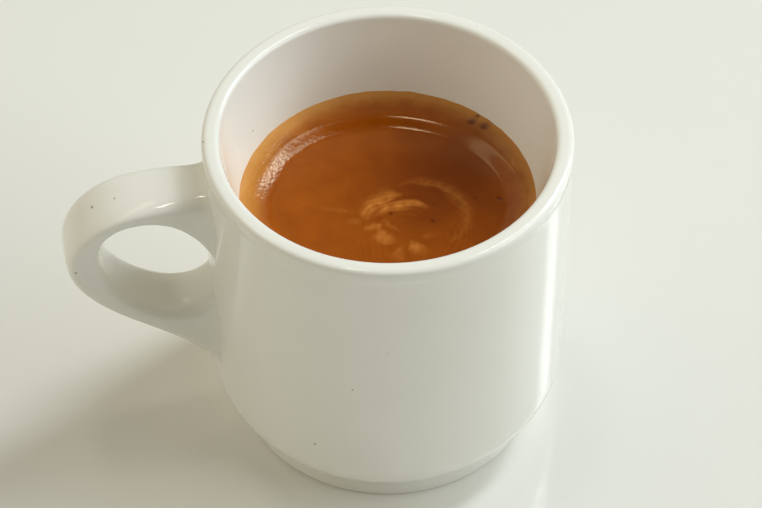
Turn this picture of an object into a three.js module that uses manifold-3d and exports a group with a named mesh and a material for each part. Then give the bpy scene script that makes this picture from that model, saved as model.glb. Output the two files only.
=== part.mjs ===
// A small white porcelain cup with a strap handle, filled with a double espresso.
// Millimetres, +Z up. The cup stands on z = 0, and its handle points to -X.
// The origin is under the middle of the whole object, so the cup's own axis lies a little to +X.
import * as THREE from "three";
import { mergeVertices } from "three/addons/utils/BufferGeometryUtils.js";
import { NURBSCurve } from "three/addons/curves/NURBSCurve.js";
import Module from "manifold-3d";

const wasm = await Module();
wasm.setup();

// Driving dimensions of the cup
const rimRadius = 30.5;
const cupHeight = 62.4;
const lipRadius = 1.5;
const lipSquareness = 3;
const lipUnder = 0.45;
const wallFootRadius = 29.9;
const belly = { across: 15.4, down: 11.6, height: 12.2 };
const footRadius = 25.4;
const footRingWidth = 2.8;
const footEdge = 0.6;
const footFillet = 0.7;
const footRecess = 1.6;
const recessSlope = 0.8;
const floorHeight = 6.5;
const floorFlatRadius = 14;
const floorBendHeight = 16;
const floorBendRadius = 22.6;

// Driving dimensions of the drink
const drinkLevel = 47.4;
const drinkRadius = 24.65;
const wallClimb = 0.45;
const basinDepth = 1.05;
const basinRadius = 19.7;
const basinSlope = 3.8;
const gap = 0.3;

// Driving dimensions of the handle: its side view as two outlines, given by the corner points
// of two smooth curves, as distance from the cup's axis and height
const strapHalfWidth = 5.45;
const strapSquareness = 3.6;
const rootSpread = 1.6;
const rootReach = 3.4;
const rootTaper = 0.15;
const rootDepth = 29.1;
const outerOutline = [
  [rootDepth, 57.4],
  [30.6, 56.8],
  [47.8, 57.9],
  [57.8, 43.2],
  [46.6, 30.7],
  [32.6, 22.0],
  [rootDepth, 13.0],
];
const innerOutline = [
  [rootDepth, 38.4],
  [32.7, 50.7],
  [44.7, 55.8],
  [50.6, 45.8],
  [43.8, 32.1],
  [34.4, 29.0],
  [rootDepth, 34.2],
];

// How finely the round surfaces are cut into facets
const roundSides = 64;
const arcSteps = 4;
const lipSteps = 8;
const strapSides = 22;
const strapSteps = 40;

// Sizes worked out from the driving ones
const lipCentre = { radius: rimRadius - lipRadius, height: cupHeight - lipRadius };
const bellyCentre = wallFootRadius - belly.across;
const bellyEnd = Math.acos((footRadius - bellyCentre) / belly.across);
const innerLean = Math.atan2(lipCentre.radius - lipRadius - drinkRadius, cupHeight - drinkLevel);
const leanPower = lipSquareness / (2 * lipSquareness - 2);
const lipEnd = Math.PI - Math.atan(Math.tan(innerLean) ** leanPower);

// The handle's curves
const outerCurve = smoothCurve(outerOutline);
const innerCurve = smoothCurve(innerOutline);
const handleReach = Math.max(...outerCurve.getPoints(200).map((point) => point.x));
const cupAxisX = (handleReach - rimRadius) / 2;

// A cubic spline that starts and ends on the first and last of its corner points
function smoothCurve(corners) {
  const degree = 3;
  const spans = corners.length - degree;
  const inner = Array.from({ length: spans - 1 }, (_, index) => (index + 1) / spans);
  const knots = [...Array(degree + 1).fill(0), ...inner, ...Array(degree + 1).fill(1)];
  return new NURBSCurve(degree, knots, corners.map(([x, y]) => new THREE.Vector4(x, y, 0, 1)));
}

// A closed body turned about the Z axis from points of radius and height, bottom first
function turned(points) {
  return new THREE.LatheGeometry(points, roundSides).rotateX(Math.PI / 2);
}

// The inside of the cup from the drink's level down to the middle of the floor,
// drawn inwards by an inset
function followInside(path, inset) {
  const bendRun = 6;
  const bendTop = drinkRadius - bendRun * Math.tan(innerLean);
  path.quadraticCurveTo(
    bendTop - inset,
    drinkLevel - bendRun,
    floorBendRadius - inset,
    floorBendHeight,
  );
  path.quadraticCurveTo(
    floorBendRadius - inset,
    floorHeight + inset,
    floorFlatRadius,
    floorHeight + inset,
  );
  path.lineTo(0, floorHeight + inset);
  return path;
}

// A cosine or sine drawn towards 1, which turns a circle into a rounded square
function rounded(value, squareness) {
  return Math.sign(value) * Math.abs(value) ** (2 / squareness);
}

// The lip from under its outer edge, over its broad flat top, to the inner wall
function addLip(path) {
  for (let step = 0; step <= lipSteps; step += 1) {
    const angle = THREE.MathUtils.lerp(-lipUnder, lipEnd, step / lipSteps);
    path.lineTo(
      lipCentre.radius + lipRadius * rounded(Math.cos(angle), lipSquareness),
      lipCentre.height + lipRadius * rounded(Math.sin(angle), lipSquareness),
    );
  }
}

// The cup without its handle: foot ring, rounded belly, near-straight wall, broad lip, hollow
function cupBody() {
  const ringInner = footRadius - footRingWidth;
  const footJoint = belly.height - belly.down * Math.sin(bellyEnd);
  const path = new THREE.Path();
  path.moveTo(0, footRecess);
  path.lineTo(ringInner - recessSlope, footRecess);
  path.lineTo(ringInner, 0);
  path.lineTo(footRadius - footEdge, 0);
  path.lineTo(footRadius, footEdge);
  path.lineTo(footRadius, footJoint - footFillet);
  const bellyStart = footFillet / belly.across - bellyEnd;
  path.quadraticCurveTo(
    footRadius,
    footJoint,
    bellyCentre + belly.across * Math.cos(bellyStart),
    belly.height + belly.down * Math.sin(bellyStart),
  );
  path.absellipse(bellyCentre, belly.height, belly.across, belly.down, bellyStart, 0, false);
  addLip(path);
  path.lineTo(drinkRadius, drinkLevel);
  return turned(followInside(path, 0).getPoints(arcSteps));
}

// The drink: it fills the hollow. Its foam is a shallow basin inside a ring that climbs the wall.
function drinkBody() {
  const ringLevel = drinkLevel - wallClimb;
  const basinLevel = ringLevel - basinDepth;
  const ringStart = basinRadius + basinSlope / 2;
  const edge = drinkRadius - gap;
  const path = new THREE.Path();
  path.moveTo(0, basinLevel);
  path.lineTo(basinRadius - basinSlope / 2, basinLevel);
  path.bezierCurveTo(basinRadius, basinLevel, basinRadius, ringLevel, ringStart, ringLevel);
  path.quadraticCurveTo((ringStart + edge) / 2, ringLevel, edge, drinkLevel);
  return turned(followInside(path, gap).getPoints(arcSteps).reverse());
}

// The handle: a capped cylinder whose every vertex is moved onto a rounded strap section.
// A section spans the two outlines at one share of their length. Within rootReach of the wall
// it spreads in a quarter circle, most at the top of the upper root, and bends round the cup.
function handleBody() {
  const geometry = new THREE.CylinderGeometry(1, 1, 1, strapSides, strapSteps);
  const position = geometry.attributes.position;
  for (let index = 0; index < position.count; index += 1) {
    const share = 0.5 - position.getY(index);
    const across = position.getX(index);
    const along = position.getZ(index);
    const outer = outerCurve.getPoint(share);
    const inner = innerCurve.getPoint(share);
    const middle = outer.clone().add(inner).multiplyScalar(0.5);
    const half = outer.clone().sub(inner).multiplyScalar(0.5);
    const distance = Math.max(middle.x - wallFootRadius, 0);
    const closeness = THREE.MathUtils.clamp(1 - distance / rootReach, 0, 1);
    const spread = 1 - Math.sqrt(1 - closeness ** 2);
    const outwards = rounded(across, strapSquareness);
    const taper = 1 + rootTaper * (1 - share) * spread * outwards;
    const halfWidth = (strapHalfWidth + rootSpread * spread) * taper;
    const sideways = rounded(along, strapSquareness) * halfWidth;
    const sagitta = wallFootRadius - Math.sqrt(wallFootRadius ** 2 - sideways ** 2);
    const radius = middle.x + half.x * outwards - closeness * sagitta;
    position.setXYZ(index, -radius, sideways, middle.y + half.y * outwards);
  }
  return geometry;
}

// A geometry as a solid: shared vertices merged, collapsed triangles left out
function toSolid(geometry) {
  geometry.deleteAttribute("normal");
  geometry.deleteAttribute("uv");
  const merged = mergeVertices(geometry, 1e-4);
  const corners = Array.from(merged.index.array);
  const triangles = [];
  for (let index = 0; index < corners.length; index += 3) {
    const [a, b, c] = corners.slice(index, index + 3);
    if (a !== b && b !== c && c !== a) triangles.push(a, b, c);
  }
  const mesh = new wasm.Mesh({
    numProp: 3,
    vertProperties: new Float32Array(merged.attributes.position.array),
    triVerts: new Uint32Array(triangles),
  });
  return new wasm.Manifold(mesh);
}

// A solid as a geometry
function toGeometry(solid) {
  const mesh = solid.getMesh();
  const geometry = new THREE.BufferGeometry();
  geometry.setAttribute("position", new THREE.BufferAttribute(mesh.vertProperties, 3));
  geometry.setIndex(new THREE.BufferAttribute(mesh.triVerts, 1));
  geometry.computeVertexNormals();
  return geometry;
}

function namedMesh(name, geometry, color, roughness) {
  const material = new THREE.MeshStandardMaterial({ color, roughness, metalness: 0 });
  const mesh = new THREE.Mesh(geometry, material);
  mesh.name = name;
  return mesh;
}

// Cup and handle are one piece of glazed porcelain
const porcelain = toSolid(cupBody()).add(toSolid(handleBody()));
const coffee = toSolid(drinkBody());

const part = new THREE.Group();
part.add(namedMesh("cup", toGeometry(porcelain), 0xe4e3da, 0.12));
part.add(namedMesh("espresso", toGeometry(coffee), 0x8c4a14, 0.3));
part.position.x = cupAxisX;

export default part;
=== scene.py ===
# %% [markdown]
# # A double espresso in a porcelain cup
#
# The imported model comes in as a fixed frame, in metres. Two CAD nodes are in it, the cup and the
# drink. Their forms are right but faceted, so each gets a finer surface over the same sizes, and
# then its finish: glazed porcelain, and crema, the fine brown foam on an espresso.

import bpy
import numpy as np
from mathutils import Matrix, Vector


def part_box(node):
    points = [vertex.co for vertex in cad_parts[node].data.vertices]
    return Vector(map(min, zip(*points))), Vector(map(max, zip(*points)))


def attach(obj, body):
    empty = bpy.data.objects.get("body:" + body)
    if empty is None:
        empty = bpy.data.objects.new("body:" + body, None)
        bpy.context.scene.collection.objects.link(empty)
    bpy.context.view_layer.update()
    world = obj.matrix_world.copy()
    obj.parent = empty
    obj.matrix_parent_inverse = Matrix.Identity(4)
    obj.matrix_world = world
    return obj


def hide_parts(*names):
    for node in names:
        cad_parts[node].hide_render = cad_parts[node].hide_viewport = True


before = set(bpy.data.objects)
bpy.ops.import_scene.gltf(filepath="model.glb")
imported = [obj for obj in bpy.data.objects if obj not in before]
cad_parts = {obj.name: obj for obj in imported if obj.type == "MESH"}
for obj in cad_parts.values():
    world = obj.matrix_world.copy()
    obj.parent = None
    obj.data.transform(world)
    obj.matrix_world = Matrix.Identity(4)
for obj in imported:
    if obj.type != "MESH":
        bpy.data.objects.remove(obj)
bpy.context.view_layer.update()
cup_low, cup_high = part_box("cup")
drink_low, drink_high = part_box("espresso")
for name, low, high in (("cup", cup_low, cup_high), ("drink", drink_low, drink_high)):
    print(name, "from", [round(value, 4) for value in low], "to", [round(value, 4) for value in high])

# %% [markdown]
# ## Sizes
#
# What the frame says is read from it: the rim is the cup's whole width across, and the cup's own
# axis lies one rim radius in from its right end. Everything below is worked out in millimetres
# about that axis and turned to metres in one place, because cup makers draw in millimetres.

# %% Sizes from the frame
MM = 0.001
rim_radius = cup_high.y / MM
cup_height = cup_high.z / MM
axis_x = cup_high.x / MM - rim_radius
drink_level = drink_high.z / MM
print("rim radius", round(rim_radius, 2), "height", round(cup_height, 2), "axis at x", round(axis_x, 2))

# %% Sizes of the cup that the box doesn't tell
# The lip is a rounded square, and the wall meets it lip_under radians below its widest point
lip_radius = 1.5
lip_squareness = 3.0
lip_under = 0.45
wall_foot_radius = 29.9
belly_across, belly_down, belly_height = 15.4, 11.6, 12.2
foot_radius, foot_ring_width, foot_edge = 25.4, 2.8, 0.6
foot_recess, recess_slope = 1.6, 0.8
foot_fillet = 0.7
floor_height, floor_flat_radius = 6.5, 14.0
floor_bend_height, floor_bend_radius = 16.0, 22.6
drink_radius = 24.65
bend_run = 6.0

# %% [markdown]
# ## Turning arrays into a mesh
#
# A grid of points is a table of rows and columns. Each face joins two neighbours in one row to the
# same two in the next. Numpy makes the whole table of faces at once, which is quicker than a loop
# and leaves one place where the direction of the faces is decided.

# %% Grid helpers
def grid_faces(rows, columns):
    """Quads between neighbouring points of a grid that closes on itself across its columns.
    Point (row, column) has the index row * columns + column."""
    row = np.arange(rows - 1)[:, None] * columns
    column = np.arange(columns)[None, :]
    following = (column + 1) % columns
    corners = [row + column, row + following, row + columns + following, row + columns + column]
    return np.stack([corner.ravel() for corner in corners], axis=1)


def capped_grid(points):
    """Vertices and triangles of a closed surface from a grid (rows, columns, 3). The first and
    last rows shrink to one point each, their mean, which is joined to the ring next to it."""
    rows, columns = points.shape[0] - 2, points.shape[1]
    quads = grid_faces(rows, columns)
    triangles = np.vstack([quads[:, [0, 1, 2]], quads[:, [0, 2, 3]]])
    ring = np.arange(columns)
    following = (ring + 1) % columns
    first, last = rows * columns, rows * columns + 1
    start_fan = np.stack([following, ring, np.full(columns, first)], axis=1)
    top = (rows - 1) * columns
    end_fan = np.stack([top + ring, top + following, np.full(columns, last)], axis=1)
    vertices = np.vstack([points[1:-1].reshape(-1, 3), points[0].mean(0), points[-1].mean(0)])
    return vertices, np.vstack([triangles, start_fan, end_fan])


def volume_of(vertices, triangles):
    """Volume inside a closed mesh: a sixth of the sum of each triangle's triple product."""
    a, b, c = (vertices[triangles[:, corner]] for corner in range(3))
    return np.einsum("ij,ij->i", a, np.cross(b, c)).sum() / 6


# %% Objects
def shade_smooth(mesh):
    """Marks every face as smooth, so that light runs over it without facets."""
    mesh.polygons.foreach_set("use_smooth", np.ones(len(mesh.polygons), bool))
    mesh.update()


def make_piece(name, vertices, triangles):
    """A smooth object from points in millimetres about the cup's axis, with its place in its
    mesh. Faces that point inwards give a negative volume and are turned round."""
    if volume_of(vertices, triangles) < 0:
        triangles = triangles[:, ::-1]
    placed = (vertices + [axis_x, 0, 0]) * MM
    mesh = bpy.data.meshes.new(name)
    mesh.from_pydata(placed.tolist(), [], triangles.tolist())
    shade_smooth(mesh)
    piece = bpy.data.objects.new(name, mesh)
    bpy.context.scene.collection.objects.link(piece)
    print(name, len(triangles), "triangles,", round(volume_of(vertices, triangles) / 1000, 2), "cm3")
    return piece

# %% [markdown]
# ## The cup's body
#
# A cup like this is jiggered: wet clay is pressed against a turning mould by a fixed blade, so its
# form is one outline turned about an axis. Spin could make it, or a Screw modifier. Here the
# outline is worked out as arcs, bends and straight runs and turned by numpy, because then the lip
# and the foot get as many points as their small radii need.

# %% Stretches of an outline, as points of radius and height
def line(start, end, steps):
    """Points at even shares of the way from start to end."""
    share = np.linspace(0, 1, steps)[:, None]
    return (1 - share) * np.asarray(start) + share * np.asarray(end)


def arc(centre, across, down, start, stop, steps):
    """Points of an ellipse: the centre plus cosine times across and sine times down."""
    angle = np.linspace(start, stop, steps)
    return np.stack([centre[0] + across * np.cos(angle), centre[1] + down * np.sin(angle)], axis=1)


def bend(start, corner, end, steps):
    """A parabola from start to end that leaves and arrives along the lines to the corner: each
    of the three points times its weight, the square of the share left, twice the product of
    both shares, and the square of the share done."""
    share = np.linspace(0, 1, steps)[:, None]
    start, corner, end = (np.asarray(point, float) for point in (start, corner, end))
    return (1 - share) ** 2 * start + 2 * share * (1 - share) * corner + share**2 * end


def rounded(value, squareness):
    """A cosine or sine to the power of two over the squareness, with its sign kept. Above 2 it
    is drawn towards 1, which turns a circle into a rounded square."""
    return np.sign(value) * np.abs(value) ** (2 / squareness)


def turned(outline, sides):
    """The outline turned about the axis: radius times cosine and sine, at every angle."""
    angle = np.linspace(0, 2 * np.pi, sides, endpoint=False)
    radius, height = outline[:, 0, None], outline[:, 1, None]
    return np.stack([radius * np.cos(angle), radius * np.sin(angle), height + 0 * angle], axis=2)

# %% Inside of the cup below the drink's level
inner_lean = np.arctan2(rim_radius - 2 * lip_radius - drink_radius, cup_height - drink_level)
print("the inner wall leans", round(np.degrees(inner_lean), 1), "degrees")


def inside_below(level, inset=0.0, steps=16):
    """The hollow from the wall at a level down to the middle of the floor, drawn in by an inset:
    a bend that starts with the wall's lean, one down to the floor, and the flat floor. A
    negative inset reaches into the porcelain."""
    at_level = drink_radius + (level - drink_level) * np.tan(inner_lean)
    bend_top = drink_radius - bend_run * np.tan(inner_lean)
    side = (floor_bend_radius - inset, floor_bend_height)
    floor = (floor_flat_radius, floor_height + inset)
    return np.vstack([
        bend((at_level - inset, level), (bend_top - inset, drink_level - bend_run), side, steps),
        bend(side, (side[0], floor[1]), floor, steps)[1:],
        line(floor, (0, floor[1]), steps // 2)[1:],
    ])

# %% Belly and lip
belly_centre = (wall_foot_radius - belly_across, belly_height)
belly_end = np.arccos((foot_radius - belly_centre[0]) / belly_across)
belly = arc(belly_centre, belly_across, belly_down, -belly_end, 0, 44)

lip_centre = (rim_radius - lip_radius, cup_height - lip_radius)
lean_angle = np.arctan(np.tan(inner_lean) ** (lip_squareness / (2 * lip_squareness - 2)))
lip_angle = np.linspace(-lip_under, np.pi - lean_angle, 48)
lip_way = np.stack([np.cos(lip_angle), np.sin(lip_angle)], axis=1)
lip = lip_centre + lip_radius * rounded(lip_way, lip_squareness)

# %% Foot: the recess ends in a soft corner on the inside of the ring, which stands on a flat
ring_inner = foot_radius - foot_ring_width
recess_edge = (ring_inner - recess_slope, foot_recess)
ring_corner_start, ring_corner = (ring_inner + 0.3, 0.4), (ring_inner + 0.5, 0)
ring_flat = (ring_inner + 1, 0)
# The fillet between foot and belly takes the place of the belly's first points
fillet_start = (foot_radius, belly[0, 1] - foot_fillet)
fillet_points = 2

# %% Outline of the body, from the middle of the underside round the lip to the middle of the floor
# The last number in each stretch is how many points it gets
body_outline = np.vstack([
    line((0, foot_recess), recess_edge, 16),
    bend(recess_edge, (ring_inner, foot_recess), ring_corner_start, 6)[1:],
    bend(ring_corner_start, ring_corner, ring_flat, 5)[1:],
    line(ring_flat, (foot_radius - foot_edge, 0), 4)[1:],
    arc((foot_radius - foot_edge, foot_edge), foot_edge, foot_edge, -np.pi / 2, 0, 8)[1:],
    line((foot_radius, foot_edge), fillet_start, 6)[1:],
    bend(fillet_start, belly[0], belly[fillet_points], 8)[1:],
    belly[fillet_points + 1:],
    line(belly[-1], lip[0], 36)[1:],
    lip[1:],
    line(lip[-1], (drink_radius, drink_level), 20)[1:],
    inside_below(drink_level)[1:],
])
print("outline of", len(body_outline), "points")

# %% Turn the body
body_sides = 288
body_vertices, body_triangles = capped_grid(turned(body_outline, body_sides))

# %% [markdown]
# ## The handle
#
# The strap is cast on its own and stuck on with slip before firing, so it flows into the wall with
# a soft web on each side. It could be a curve with a bevel, but its section changes all the way.
# So two smooth curves give its outer and inner side, a rounded section spans them, and near the
# wall the section spreads and bends round the cup.

# %% Smooth curves through a few corner points
def shares_of(way, length):
    """The way divided by the length, or 0 where the length is 0."""
    return np.divide(way, length, out=np.zeros(way.shape), where=length > 0)


def spline(corners, shares):
    """Cubic B-spline that starts and ends on its first and last corner point. A point is the sum
    of the corner points times their weights. The weights are built degree by degree, each from
    two neighbours of the degree below times the share done and the share left of their spans."""
    degree = 3
    corners = np.asarray(corners, float)
    spans = len(corners) - degree
    knots = np.concatenate([np.zeros(degree), np.linspace(0, 1, spans + 1), np.ones(degree)])
    just_short_of_one = 1 - 1e-9
    share = np.clip(shares, 0, just_short_of_one)[:, None]
    weights = ((knots[:-1] <= share) & (share < knots[1:])).astype(float)
    for order in range(1, degree + 1):
        up = shares_of(share - knots[:-order - 1], knots[order:-1] - knots[:-order - 1])
        down = shares_of(knots[order + 1:] - share, knots[order + 1:] - knots[1:-order])
        weights = up * weights[:, :-1] + down * weights[:, 1:]
    return weights @ corners

# %% Sizes of the strap, as distance from the cup's axis and height
root_depth = 29.1
outer_outline = (
    (root_depth, 57.4), (30.6, 56.8), (47.8, 57.9), (57.8, 43.2), (46.6, 30.7), (32.6, 22.0),
    (root_depth, 13.0),
)
inner_outline = (
    (root_depth, 38.4), (32.7, 50.7), (44.7, 55.8), (50.6, 45.8), (43.8, 32.1), (34.4, 29.0),
    (root_depth, 34.2),
)
strap_half_width = 5.45
strap_squareness = 3.6
root_spread = 1.6
root_reach = 3.4
root_taper = 0.15

# %% The strap's surface
def strap_surface(steps, sides):
    """Grid of points: along the strap, the middle between its two curves; across it, half their
    distance times a rounded cosine, and half the width times a rounded sine. Within root_reach
    of the wall the width grows by a quarter circle and the section bends to the cup's radius.
    The upper root is also wider at its top than below, by a share of the rounded cosine."""
    share = (1 - np.cos(np.linspace(0, np.pi, steps))) / 2
    outer, inner = spline(outer_outline, share), spline(inner_outline, share)
    middle, half = (outer + inner) / 2, (outer - inner) / 2
    angle = np.linspace(0, 2 * np.pi, sides, endpoint=False)[None, :]
    outwards = rounded(np.cos(angle), strap_squareness)
    distance = np.maximum(middle[:, :1] - wall_foot_radius, 0)
    closeness = np.clip(1 - distance / root_reach, 0, 1)
    quarter_circle = 1 - np.sqrt(1 - closeness**2)
    taper = root_taper * (1 - share[:, None]) * quarter_circle
    width = (strap_half_width + root_spread * quarter_circle) * (1 + taper * outwards)
    sideways = rounded(np.sin(angle), strap_squareness) * width
    sagitta = wall_foot_radius - np.sqrt(wall_foot_radius**2 - sideways**2)
    radius = middle[:, :1] + half[:, :1] * outwards - closeness * sagitta
    return np.stack([-radius, sideways, middle[:, 1:] + half[:, 1:] * outwards], axis=2)


strap_steps, strap_sides = 200, 64
strap_grid = strap_surface(strap_steps, strap_sides)
# Both end rows are doubled, because capped_grid shrinks its first and last row to a point
strap_grid = np.concatenate([strap_grid[:1], strap_grid, strap_grid[-1:]])
strap_vertices, strap_triangles = capped_grid(strap_grid)

# %% Join strap and body into one solid
body = make_piece("cup_porcelain", body_vertices, body_triangles)
strap = make_piece("strap", strap_vertices, strap_triangles)


def join(piece, other):
    """One closed solid from two that overlap, by a Boolean modifier that is then applied."""
    modifier = piece.modifiers.new("join", "BOOLEAN")
    modifier.operation = "UNION"
    modifier.solver = "MANIFOLD"
    modifier.object = other
    shown = piece.evaluated_get(bpy.context.evaluated_depsgraph_get())
    mesh = bpy.data.meshes.new_from_object(shown)
    piece.modifiers.clear()
    piece.data = mesh
    bpy.data.objects.remove(other)
    shade_smooth(mesh)


join(body, strap)
print("joined cup", len(body.data.polygons), "faces")

# %% [markdown]
# ## The drink
#
# Crema is the foam on an espresso. It clings to the wall as a thick ring and sinks a little
# inside it, so that the surface is a very shallow basin with a soft step. The CAD solid stops
# short of the wall, so this one goes 0.2 mm into the porcelain, as liquid leaves no gap. Its top
# is a fine polar grid, because then the step, the uneven edge and the burst bubbles are real shape.

# %% Directions across the cup as the camera sees them
# The handle points to the view's left, turned a little towards the camera
handle_turn = np.radians(9.6)
view_right = np.array([np.cos(handle_turn), -np.sin(handle_turn), 0])
view_away = np.array([np.sin(handle_turn), np.cos(handle_turn), 0])


def as_seen(x, y):
    """Distance to the right and away, from x and y about the cup's axis."""
    return x * view_right[0] + y * view_right[1], x * view_away[0] + y * view_away[1]


# %% Unevenness
shape_random = np.random.default_rng(7)


def smooth(value):
    """Smooth step from 0 to 1: three squares less two cubes."""
    value = np.clip(value, 0, 1)
    return value**2 * (3 - 2 * value)


def waves(x, y, count, shortest, longest):
    """Smooth unevenness, mostly between -1 and 1: a sum of plane waves with lengths between two
    bounds, in random directions and phases, divided by twice its root mean square."""
    length = np.exp(shape_random.uniform(np.log(shortest), np.log(longest), count))
    direction = shape_random.uniform(0, 2 * np.pi, count)
    phase = shape_random.uniform(0, 2 * np.pi, count)
    total = np.zeros_like(x)
    for size, turn, start in zip(length, direction, phase):
        total += np.sin((x * np.cos(turn) + y * np.sin(turn)) * 2 * np.pi / size + start)
    return total / np.sqrt(2 * count)


def bell(right, away, bell_right, bell_away, size):
    """A bell curve: e to the minus square of the distance in units of a size."""
    return np.exp(-((right - bell_right) ** 2 + (away - bell_away) ** 2) / size**2)


# %% Sizes of the crema's relief
basin_depth = 1.05
basin_half_width, basin_half_length = 21.2, 18.2
basin_slope, basin_wander = 3.8, 0.3
wall_climb, climb_width = 0.45, 1.1
froth_run, froth_height, least_froth = 20.0, 0.016, 0.001
edge_unevenness, edge_power = 0.08, 16
# Burst bubbles: place to the right and away, and width. Depth and radius are shares of the width
bubble_pits = (
    (14.25, 17.8, 1.3), (16.3, 16.7, 1.3), (15.2, 18.9, 0.5),
    (18.6, 1.1, 0.8), (14.6, 1.3, 0.4), (0.6, -2.3, 0.5), (7.5, -3.9, 0.5),
)
pit_depth, pit_radius = 0.1, 0.6


# %% Height of the crema
def crema_height(x, y):
    """Level of the foam: an oval basin with a smooth step up to the ring at the wall, a last
    climb that dies away inwards as e to the minus distance, fine froth on the left part of the
    step, an edge that is uneven by a high power of the radius, and a bell curve less for each
    burst bubble."""
    radius = np.hypot(x, y)
    right, away = as_seen(x, y)
    oval_radius = np.hypot(right, away * basin_half_width / basin_half_length)
    from_step = oval_radius + basin_wander * waves(x, y, 12, 9, 30) - basin_half_width
    step = smooth(from_step / basin_slope + 0.5)
    to_wall = np.maximum(drink_radius - radius, 0)
    climb = wall_climb * np.exp(-to_wall / climb_width)
    on_step = 4 * step * (1 - step)
    frothy = smooth(-right / froth_run)
    froth = (least_froth + froth_height * on_step * frothy) * waves(x, y, 80, 0.7, 1.6)
    uneven_edge = edge_unevenness * waves(x, y, 16, 2.5, 10) * (radius / drink_radius) ** edge_power
    pits = sum(
        -pit_depth * width * bell(right, away, *place, pit_radius * width) for *place, width in bubble_pits
    )
    return drink_level - wall_climb - basin_depth * (1 - step) + climb + froth + uneven_edge + pits


# %% Top of the drink: rings that lie closer together towards the wall
crema_rings, crema_sides = 130, 560
ring_crowding = 0.85
ring_share = np.linspace(0, 1, crema_rings) ** ring_crowding
angle = np.linspace(0, 2 * np.pi, crema_sides, endpoint=False)
top_radius = drink_radius * ring_share[:, None]
top_x, top_y = top_radius * np.cos(angle), top_radius * np.sin(angle)
top_z = crema_height(top_x, top_y)
crema_grid = np.stack([top_x, top_y, top_z], axis=2)
print("crema from", round(top_z.min(), 2), "to", round(top_z.max(), 2), "mm high")

# %% Edge and underside of the drink
# The last ring follows the leaning wall, and the next one lies a little inside the porcelain
wall_overlap = 0.2
side_drop, side_steps = 2.0, 12
edge_radius = drink_radius + (top_z[-1] - drink_level) * np.tan(inner_lean)
crema_grid[-1] = np.stack([edge_radius * np.cos(angle), edge_radius * np.sin(angle), top_z[-1]], axis=1)
sunk_edge = crema_grid[-1].copy()
sunk_edge[:, :2] *= (1 + wall_overlap / edge_radius)[:, None]
below = turned(inside_below(drink_level - side_drop, -wall_overlap, side_steps), crema_sides)
drink_grid = np.concatenate([crema_grid, sunk_edge[None], below])[::-1]
drink_vertices, drink_triangles = capped_grid(drink_grid)
drink = make_piece("espresso_drink", drink_vertices, drink_triangles)

# %% [markdown]
# ## Swirls in the crema
#
# Where the last of the pour fell, it drew pale foam and dark coffee into streaks that curl round
# one point. A noise texture twisted about that point would give streaks, but not these. So each
# streak is a brush stroke in polar places about the point: it runs from one angle to another while
# its radius grows or shrinks, and it is widest in its middle. Fine lines of flow run round the same
# point. All this is summed at every vertex and kept as an attribute of the mesh, which the material
# reads. A second attribute is painted shade: it darkens the crema where the right wall shades it.

# %% Streaks: angles, radii at start, middle and end, half width, paleness (dark is negative)
swirl_centre = (3.7, -7.7)
streaks = (
    (154, 96, 8.5, 9.6, 10.0, 1.25, 0.95),
    (140, 66, 6.8, 7.6, 7.7, 0.95, 1.0),
    (168, 146, 7.4, 6.5, 5.4, 0.75, 0.75),
    (152, 206, 5.4, 4.4, 3.6, 1.15, 1.0),
    (-35, -95, 3.2, 2.4, 1.9, 1.2, 0.85),
    (100, -8, 12.1, 12.0, 6.5, 1.1, 0.36),
    (-138, -100, 3.0, 3.9, 5.0, 1.4, 0.45),
    (130, 150, 5.9, 4.2, 2.6, 1.5, 0.35),
    (20, -5, 2.8, 2.9, 3.0, 1.0, 0.3),
    (157, 148, 16.0, 13.5, 11.0, 1.2, 0.25),
    (165, 152, 10.6, 10.0, 9.4, 0.6, 0.3),
    (118, 50, 8.4, 9.1, 8.3, 0.45, -0.6),
    (104, 52, 11.2, 10.8, 10.4, 0.8, -0.4),
    (150, 112, 7.4, 6.6, 6.3, 0.45, -0.45),
    (78, 30, 4.0, 5.4, 5.4, 1.3, -0.4),
    (178, 150, 6.4, 5.6, 4.6, 0.5, -0.35),
)

# %% Strengths and sizes in the swirl
swirl_wander = 0.25
stroke_strength, stroke_softness = 0.85, 1.1
least_width = 1e-3
flow_spacing, flow_wander = 1.1, 0.6
flow_start, flow_rise, flow_end, flow_fade = 2, 4, 15, 8
flow_in_strokes, flow_in_foam, grain_in_strokes = 0.12, 0.04, 0.3
pit_darkness, pit_dark_radius = 1.8, 0.55


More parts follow.
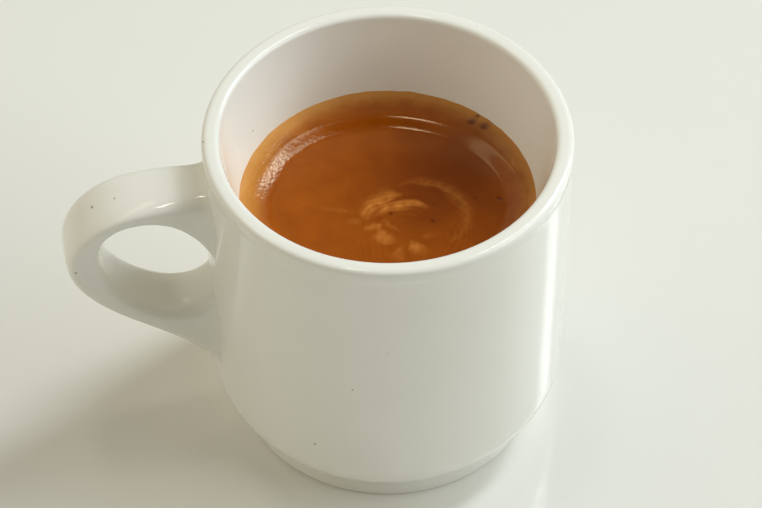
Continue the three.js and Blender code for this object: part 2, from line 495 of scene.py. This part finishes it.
# %% Paleness of the streaks
def streak_paleness(x, y):
    """Sum of the strokes. Along a stroke its share runs from 0 to 1, its radius is a parabola
    through three given ones, and its width and strength go with the root of the sine of half a
    turn. Across it the strength falls as a bell curve. Lines of flow, a sine of the distance
    from the point, and fine waves make the sum uneven, and each burst bubble is a dark bell."""
    right, away = as_seen(x, y)
    right, away = right - swirl_centre[0], away - swirl_centre[1]
    right = right + swirl_wander * waves(x, y, 10, 3, 8)
    away = away + swirl_wander * waves(x, y, 10, 3, 8)
    distance, angle = np.hypot(right, away), np.degrees(np.arctan2(away, right))
    total = np.zeros_like(x)
    for start, stop, first, middle, last, half_width, strength in streaks:
        turn = (angle - start + 180) % 360 - 180
        share = turn / (stop - start)
        bulge = 4 * middle - 2 * (first + last)
        route = first + (last - first) * share + bulge * share * (1 - share)
        swell = np.sqrt(np.sin(np.pi * np.clip(share, 0, 1)))
        across = np.abs(distance - route) / np.maximum(half_width * swell, least_width)
        total += stroke_strength * strength * swell * np.exp(-((across / stroke_softness) ** 2))
    flow_lines = np.sin(2 * np.pi * (distance / flow_spacing + flow_wander * waves(x, y, 10, 6, 16)))
    flow_swell = smooth((distance - flow_start) / flow_rise) * smooth((flow_end - distance) / flow_fade)
    total *= 1 + flow_in_strokes * flow_lines + grain_in_strokes * waves(x, y, 40, 0.8, 3)
    total += flow_in_foam * flow_lines * flow_swell * (1 + waves(x, y, 10, 5, 15))
    for *place, width in bubble_pits:
        total -= pit_darkness * bell(*as_seen(x, y), *place, pit_dark_radius * width)
    return total


# %% Painted shade where the right wall shades the crema
shade_place, shade_extent = (9.0, 6.0), (14.0, 13.0)
shade_wander = 1.2


def shade_by_wall(x, y):
    """Painted shade: 1 in the middle of the patch that the right wall shades, falling to 0 as a bell
    curve of the distance from that place, in units of its half width and half length."""
    right, away = as_seen(x, y)
    right, away = right + shade_wander * waves(x, y, 12, 5, 16), away + shade_wander * waves(x, y, 12, 5, 16)
    beside, beyond = (right - shade_place[0]) / shade_extent[0], (away - shade_place[1]) / shade_extent[1]
    return np.exp(-(beside**2) - beyond**2)


# %% Keep streaks and painted shade on the mesh
drink_points = np.empty(len(drink.data.vertices) * 3)
drink.data.vertices.foreach_get("co", drink_points)
drink_points = drink_points.reshape(-1, 3) / MM - [axis_x, 0, 0]
paleness = streak_paleness(drink_points[:, 0], drink_points[:, 1])
painted_shade_values = shade_by_wall(drink_points[:, 0], drink_points[:, 1])
for name, values in (("swirl", paleness), ("painted_wall_shade", painted_shade_values)):
    attribute = drink.data.attributes.new(name, "FLOAT", "POINT")
    attribute.data.foreach_set("value", values.astype(np.float32))
print("streaks", len(streaks), "paleness", round(paleness.min(), 2), "to", round(paleness.max(), 2))

# %% [markdown]
# ## Finishes
#
# Every finish is built from nodes. Colours are written as sRGB hex values, as a paint chart gives
# them, and one function turns them to the linear values that the shader needs.

# %% Helpers for materials
def linear(hex_colour):
    """sRGB hex to linear colour: below 0.04045 divided by 12.92, else a power of 2.4."""
    channels = np.array([int(hex_colour[place:place + 2], 16) / 255 for place in (1, 3, 5)])
    low, high = channels / 12.92, ((channels + 0.055) / 1.055) ** 2.4
    return (*np.where(channels <= 0.04045, low, high), 1.0)


def add_node(tree, kind, settings=(), **inputs):
    """Adds one node. Settings are its own properties. Inputs are named by socket, with _ for a
    space, or by number as in i0, and a value that is a socket is linked instead of set."""
    node = tree.nodes.new(kind)
    for key, value in dict(settings).items():
        setattr(node, key, value)
    for key, value in inputs.items():
        by_number = key[0] == "i" and key[1:].isdigit()
        socket = node.inputs[int(key[1:]) if by_number else key.replace("_", " ")]
        if isinstance(value, bpy.types.NodeSocket):
            tree.links.new(value, socket)
        else:
            socket.default_value = value
    return node


def new_material(name):
    """An empty material with its Principled shader, and object coordinates in millimetres about
    the cup's axis, centred by a Mapping node."""
    material = bpy.data.materials.new(name)
    material.use_nodes = True
    tree = material.node_tree
    shader = tree.nodes["Principled BSDF"]
    place = add_node(tree, "ShaderNodeTexCoord").outputs["Object"]
    centred = add_node(
        tree, "ShaderNodeMapping", Vector=place,
        Location=(-axis_x, 0, 0), Scale=(1 / MM, 1 / MM, 1 / MM),
    ).outputs["Vector"]
    return material, tree, shader, centred


# Settings that many nodes share
of_colours = {"data_type": "RGBA"}
smoothly = {"interpolation_type": "SMOOTHSTEP"}
clamped_product = {"operation": "MULTIPLY", "use_clamp": True}

# %% [markdown]
# ### Glazed porcelain
#
# The body is white hard-paste porcelain, dipped in a clear feldspar glaze and fired. The glaze is
# smooth as glass with an IOR near 1.5, but it lies a little unevenly. Specks of iron show here and
# there as dots a fifth of a millimetre wide, and a few pinholes are two or three times as wide. A
# Voronoi texture gives the specks, in about one cell of six. The pinholes are few enough to be
# placed one by one, by their distance from a point.

# %% Porcelain: specks of iron
porcelain, tree, shader, centred = new_material("glazed_hard_porcelain")
speck_cell, speck_width = 5.0, 0.17
speck_core, speck_edge = 0.5 * speck_width, 1.2 * speck_width
plain_cells = 0.84
cells = add_node(tree, "ShaderNodeTexVoronoi", {"feature": "F1"}, Vector=centred, Scale=1 / speck_cell)
near_speck = add_node(
    tree, "ShaderNodeMapRange", smoothly, Value=cells.outputs["Distance"], To_Min=1.0, To_Max=0.0,
    From_Min=speck_core / speck_cell, From_Max=speck_edge / speck_cell,
)
cell_value = add_node(tree, "ShaderNodeSeparateColor", Color=cells.outputs["Color"]).outputs[0]
is_chosen = add_node(tree, "ShaderNodeMath", {"operation": "GREATER_THAN"}, i0=cell_value, i1=plain_cells)
speck = add_node(
    tree, "ShaderNodeMath", {"operation": "MULTIPLY"}, i0=near_speck.outputs[0], i1=is_chosen.outputs[0],
)

# %% Porcelain: pinholes, by x and y from the cup's axis, height and width
pinholes = (
    (-49.0, 0.5, 53.2, 0.5),
    (-52.8, -5.3, 44.1, 0.4),
    (-29.9, 3.6, 62.1, 0.35),
    (-16.5, -25.0, 16.2, 0.4),
)
pinhole_darkness = 0.8
pinhole_core, pinhole_edge = 0.2, 0.8
for *pinhole, width in pinholes:
    from_pinhole = add_node(tree, "ShaderNodeVectorMath", {"operation": "DISTANCE"}, i0=centred, i1=pinhole)
    near_pinhole = add_node(
        tree, "ShaderNodeMapRange", smoothly, Value=from_pinhole.outputs["Value"],
        From_Min=pinhole_core * width, From_Max=pinhole_edge * width, To_Min=pinhole_darkness, To_Max=0.0,
    )
    speck = add_node(
        tree, "ShaderNodeMath", {"operation": "MAXIMUM"}, i0=speck.outputs[0], i1=near_pinhole.outputs[0],
    )

# %% Porcelain: tone and glaze
cloud_size = 14.0
ripple_size, ripple_height = 6.0, 0.03
clouds = add_node(tree, "ShaderNodeTexNoise", Vector=centred, Scale=1 / cloud_size, Detail=2.0)
body_tone = add_node(
    tree, "ShaderNodeMix", of_colours,
    Factor=clouds.outputs[0], A=linear("#f3f2ea"), B=linear("#f8f7f0"),
)
speckled = add_node(
    tree, "ShaderNodeMix", of_colours,
    Factor=speck.outputs[0], A=body_tone.outputs["Result"], B=linear("#7d7362"),
)
ripple = add_node(tree, "ShaderNodeTexNoise", Vector=centred, Scale=1 / ripple_size, Detail=1.0)
unevenness = add_node(
    tree, "ShaderNodeBump", Height=ripple.outputs[0], Strength=0.5, Distance=ripple_height * MM,
)
tree.links.new(speckled.outputs["Result"], shader.inputs["Base Color"])
tree.links.new(unevenness.outputs[0], shader.inputs["Normal"])
shader.inputs["Roughness"].default_value = 0.06
shader.inputs["IOR"].default_value = 1.5
print(porcelain.name, len(tree.nodes), "nodes")

# %% [markdown]
# ### Crema
#
# Crema is coffee oils and gas whipped to a foam. It scatters light like a warm brown paint under a
# wet film. It is paler at the wall, where more air is mixed in. On the left this pale ring is widened
# as painted glow round the bright arc, and painted shade darkens the middle and right, where the
# right wall shades the crema. Its bubbles are a tenth of a millimetre wide, too fine to show, so the
# froth is drawn with cells half a millimetre wide. Towards the left the froth stands up more, and
# there and at the wall its film is duller, because the pour hasn't smoothed it.

# %% Crema: mottled brown, a pale ring at the wall, and painted glow that widens it on the left
crema, tree, shader, centred = new_material("crema_foam")
mottle_size = 5.0
ring_start, ring_full = drink_radius - 2.3, drink_radius + 2.1
ring_wander, painted_glow_width = 3.4, 0.9
flat_place = add_node(tree, "ShaderNodeVectorMath", {"operation": "MULTIPLY"}, i0=centred, i1=(1, 1, 0))
from_axis = add_node(
    tree, "ShaderNodeVectorMath", {"operation": "LENGTH"}, i0=flat_place.outputs[0],
).outputs["Value"]
rightwards = add_node(tree, "ShaderNodeSeparateXYZ", Vector=centred).outputs["X"]
mottle = add_node(
    tree, "ShaderNodeTexNoise", Vector=centred, Scale=1 / mottle_size, Detail=8.0, Roughness=0.7,
)
brown = add_node(
    tree, "ShaderNodeMix", of_colours,
    Factor=mottle.outputs[0], A=linear("#883b02"), B=linear("#b15c08"),
)
# Painted glow: on the left the pale ring reaches further in, lightening the foam round the bright arc
painted_glow_reach = add_node(
    tree, "ShaderNodeMapRange", smoothly, Value=rightwards,
    From_Min=-20.0, From_Max=-4.0, To_Min=painted_glow_width, To_Max=0.0,
)
glow_widened_radius = add_node(tree, "ShaderNodeMath", {"operation": "ADD"}, i0=from_axis, i1=painted_glow_reach.outputs[0])
wandering = add_node(
    tree, "ShaderNodeMath", {"operation": "MULTIPLY_ADD"},
    i0=mottle.outputs[0], i1=ring_wander, i2=glow_widened_radius.outputs[0],
)
ring_strength = add_node(
    tree, "ShaderNodeMapRange", smoothly, Value=wandering.outputs[0],
    From_Min=ring_start, From_Max=ring_full, To_Min=0.0, To_Max=1.0,
)
ringed = add_node(
    tree, "ShaderNodeMix", of_colours,
    Factor=ring_strength.outputs[0], A=brown.outputs["Result"], B=linear("#cf8c3e"),
)

# %% Crema: painted shade of the right wall, pale streaks and dark streaks, from the mesh's attributes
# A product is clamped to 0 and above, so a negative amount takes the dark streaks alone
foam_colour = ringed.outputs["Result"]
for name, amount, colour in (
    # Painted shade: dark brown where the right wall shades the crema
    ("painted_wall_shade", 0.85, "#662700"),
    ("swirl", 0.8, "#cd7e34"),
    ("swirl", -0.8, "#6b2b00"),
):
    value = add_node(tree, "ShaderNodeAttribute", {"attribute_name": name}).outputs["Fac"]
    share = add_node(tree, "ShaderNodeMath", clamped_product, i0=value, i1=amount)
    foam_colour = add_node(
        tree, "ShaderNodeMix", of_colours,
        Factor=share.outputs[0], A=foam_colour, B=linear(colour),
    ).outputs["Result"]
tree.links.new(foam_colour, shader.inputs["Base Color"])

# %% Crema: froth and the film's shine
froth_cell, froth_rise = 0.5, 0.12
dull_start, dull_end = drink_radius - 2.0, drink_radius - 0.4
froth = add_node(
    tree, "ShaderNodeTexVoronoi", {"feature": "SMOOTH_F1"}, Vector=centred, Scale=1 / froth_cell,
)
froth_strength = add_node(
    tree, "ShaderNodeMapRange", smoothly, Value=rightwards,
    From_Min=-16.0, From_Max=8.0, To_Min=0.28, To_Max=0.04,
)
fine_bumps = add_node(
    tree, "ShaderNodeBump", Height=froth.outputs["Distance"],
    Strength=froth_strength.outputs[0], Distance=froth_rise * MM,
)
film_roughness = add_node(
    tree, "ShaderNodeMapRange", smoothly, Value=rightwards,
    From_Min=-16.0, From_Max=6.0, To_Min=0.26, To_Max=0.13,
)
dull_edge = add_node(
    tree, "ShaderNodeMapRange", Value=from_axis,
    From_Min=dull_start, From_Max=dull_end, To_Min=film_roughness.outputs[0], To_Max=0.5,
)
tree.links.new(fine_bumps.outputs[0], shader.inputs["Normal"])
tree.links.new(dull_edge.outputs[0], shader.inputs["Roughness"])
shader.inputs["IOR"].default_value = 1.48
shader.inputs["Specular Tint"].default_value = linear("#fff4d2")
print(crema.name, len(tree.nodes), "nodes")

# %% [markdown]
# ## What rides on what
#
# Food and cup have no joints, so every piece rides on the one body. Each piece takes its finish,
# and the CAD node that it replaces is hidden.

# %% Dress the pieces
for piece, node, slot, material in (
    (body, "cup", "porcelain", porcelain),
    (drink, "espresso", "crema", crema),
):
    piece.data.materials.clear()
    piece.data.materials.append(material)
    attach(piece, "root")
    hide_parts(node)

# %% [markdown]
# ## Floor, light and camera
#
# The floor is a plain pale sheet. Most light comes from a large soft window on the right. Two
# smaller and brighter parts of it, further round behind, draw the bright arc in the crema on the
# left. A pale patch of ceiling and a small lamp overhead, on the left behind, add warm highlights,
# and three pale walls give a warm even fill. Lengths are in metres here, and directions are
# measured from the view's own axis.

# %% Floor
floor_half = 3.0
floor_corners = [
    (floor_half * across, floor_half * along, 0) for across, along in ((-1, -1), (1, -1), (1, 1), (-1, 1))
]
floor_mesh = bpy.data.meshes.new("floor")
floor_mesh.from_pydata(floor_corners, [], [(0, 1, 2, 3)])
floor = bpy.data.objects.new("floor", floor_mesh)
bpy.context.scene.collection.objects.link(floor)
floor_material = bpy.data.materials.new("pale_satin_board")
floor_material.use_nodes = True
floor_shader = floor_material.node_tree.nodes["Principled BSDF"]
floor_shader.inputs["Base Color"].default_value = linear("#efeee8")
floor_shader.inputs["Roughness"].default_value = 0.14
floor_mesh.materials.append(floor_material)

# %% Directions and aim
axis_foot = np.array([axis_x * MM, 0, 0])


def direction(azimuth, elevation):
    """Unit vector to a light: azimuth in degrees from straight away towards the view's right."""
    turn, rise = np.radians(azimuth), np.radians(elevation)
    level = np.sin(turn) * view_right + np.cos(turn) * view_away
    return np.cos(rise) * level + np.array([0, 0, np.sin(rise)])


def look_along(thing, place, aim):
    """Puts a light or camera at a place with its own -Z towards the aim and its Y upwards."""
    thing.location = place
    thing.rotation_euler = Vector(aim - place).to_track_quat("-Z", "Y").to_euler()


# %% Lights
light_distance = 1.6
window_colour, ceiling_colour, lamp_colour = (0.90, 0.97, 1.0), (1.0, 0.86, 0.62), (1.0, 0.9, 0.75)


def soft_light(name, azimuth, elevation, width, height, radiance, colour):
    """A rectangular light aimed at the cup. Its power is radiance times area times pi."""
    data = bpy.data.lights.new(name, "AREA")
    data.shape = "RECTANGLE"
    data.size, data.size_y = width, height
    data.energy = radiance * width * height * np.pi
    data.color = colour
    lamp = bpy.data.objects.new(name, data)
    bpy.context.scene.collection.objects.link(lamp)
    aim = axis_foot + [0, 0, cup_height * MM / 2]
    look_along(lamp, aim + light_distance * direction(azimuth, elevation), aim)
    print(name, "of", round(data.energy, 2), "W")


soft_light("window", 85, 31, 1.9, 0.95, 3.0, window_colour)
soft_light("window_top", 54, 61, 0.28, 0.6, 8.0, window_colour)
soft_light("window_bright_part", 52, 45, 0.28, 0.32, 24.0, window_colour)
soft_light("pale_ceiling", 304, 60, 0.9, 0.26, 1.4, ceiling_colour)
soft_light("ceiling_lamp", 318, 81, 0.17, 0.17, 14.0, lamp_colour)

# %% Fill from the room's pale walls
world = bpy.data.worlds.new("room")
bpy.context.scene.world = world
world.use_nodes = True
room = world.node_tree
background = room.nodes["Background"]
sky_way = add_node(room, "ShaderNodeTexCoord").outputs["Generated"]
wall_edge = 0.45
wall_colour = (1.0, 0.94, 0.76, 1)

# A wall is brightest straight towards its middle, and 0 where the cosine to that falls to wall_edge
fill = 0.0
for azimuth, elevation, strength in ((240, 20, 0.56), (300, 32, 0.56), (120, 20, 0.26)):
    way = tuple(direction(azimuth, elevation))
    cosine = add_node(room, "ShaderNodeVectorMath", {"operation": "DOT_PRODUCT"}, i0=sky_way, i1=way)
    pale_wall = add_node(
        room, "ShaderNodeMapRange", smoothly, Value=cosine.outputs["Value"],
        From_Min=wall_edge, From_Max=1.0, To_Min=0.0, To_Max=strength,
    )
    more_fill = add_node(room, "ShaderNodeMath", {"operation": "ADD"}, i0=fill, i1=pale_wall.outputs[0])
    fill = more_fill.outputs[0]
background.inputs["Color"].default_value = wall_colour
room.links.new(fill, background.inputs["Strength"])

# %% Camera, with a focal length that is given in pixels of a frame of a known width
camera_distance = 0.6743
camera_elevation = np.radians(48.065)
aim_right, aim_height = -0.0011, 0.03329
sensor_width = 36.0
focal_pixels, frame_pixels = 4000.0, 762.0

camera_data = bpy.data.cameras.new("camera")
camera_data.sensor_width = sensor_width
camera_data.lens = focal_pixels * sensor_width / frame_pixels
camera_data.clip_start = 0.01
camera = bpy.data.objects.new("camera", camera_data)
bpy.context.scene.collection.objects.link(camera)
camera_place = axis_foot - camera_distance * np.cos(camera_elevation) * view_away
camera_place = camera_place + [0, 0, aim_height + camera_distance * np.sin(camera_elevation)]
look_along(camera, camera_place, axis_foot + aim_right * view_right + [0, 0, aim_height])
bpy.context.scene.camera = camera
bpy.context.scene.view_settings.view_transform = "Standard"
print("lens of", round(camera_data.lens, 1), "mm")
